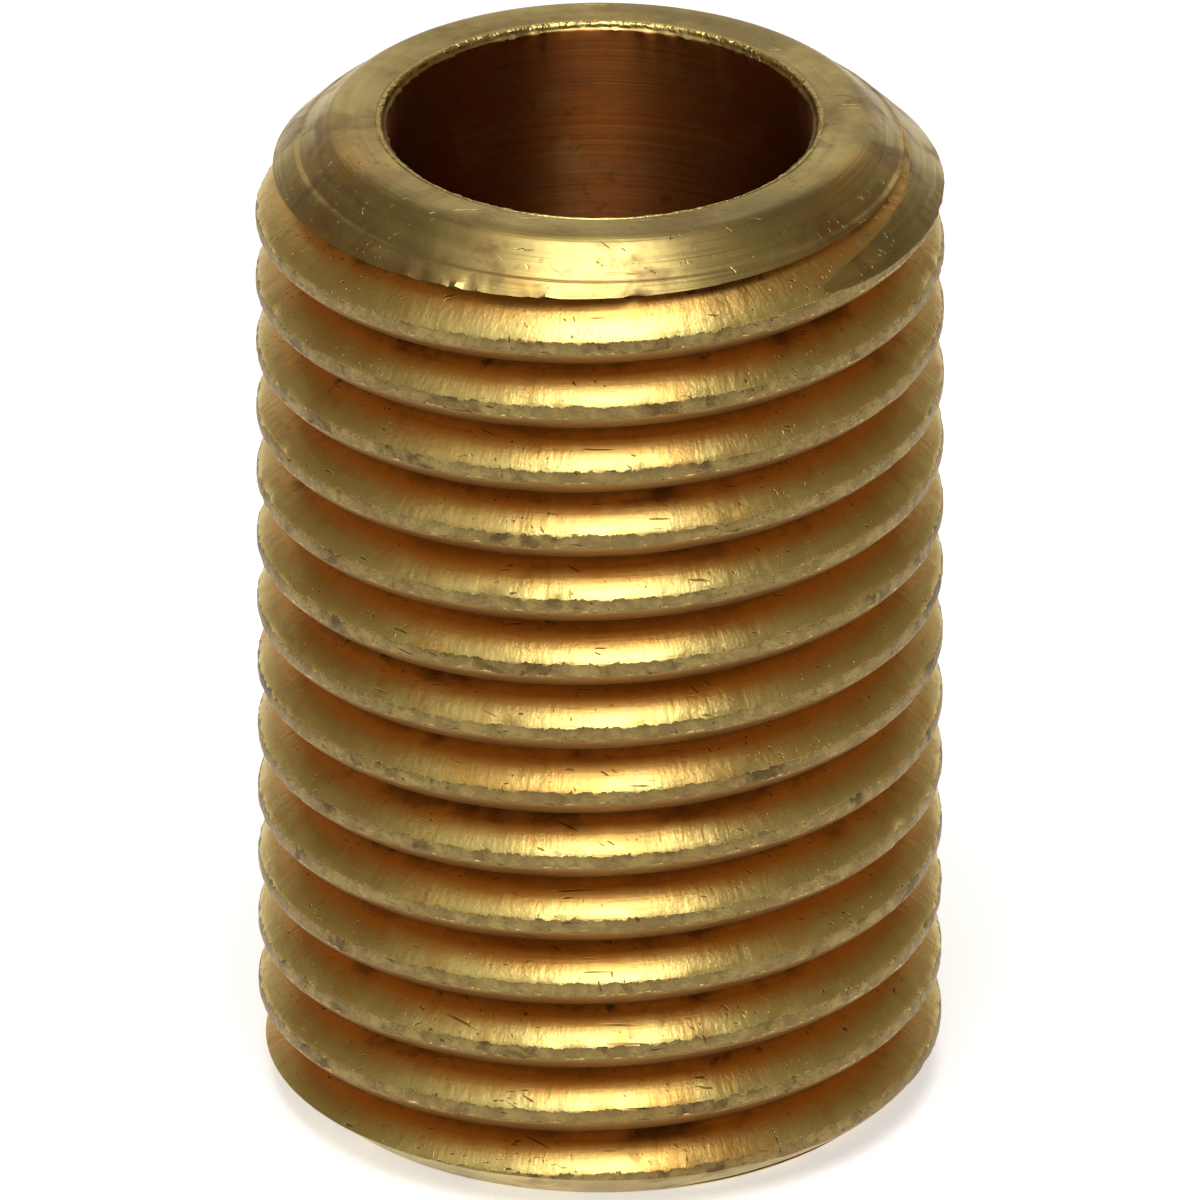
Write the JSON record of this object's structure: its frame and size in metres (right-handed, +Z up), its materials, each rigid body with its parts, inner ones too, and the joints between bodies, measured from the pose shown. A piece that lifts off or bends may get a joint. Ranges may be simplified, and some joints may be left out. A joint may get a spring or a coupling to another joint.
{
  "type": "threaded pipe nipple",
  "caption": "Short straight brass tube with an external right-hand pipe thread along its whole length, chamfered ends and a plain through bore.",
  "frame": {"origin": "centre of the lower end face, on the bore's axis", "axes": "+Z up along the bore's axis, towards the end with the larger chamfer; +X and +Y across it"},
  "size_m": [0.0136, 0.0136, 0.0208],
  "materials": {
    "brass": "as-turned, lightly tarnished"
  },
  "bodies": {
    "root": {"threaded_nipple": "brass"}
  },
  "joints": []
}
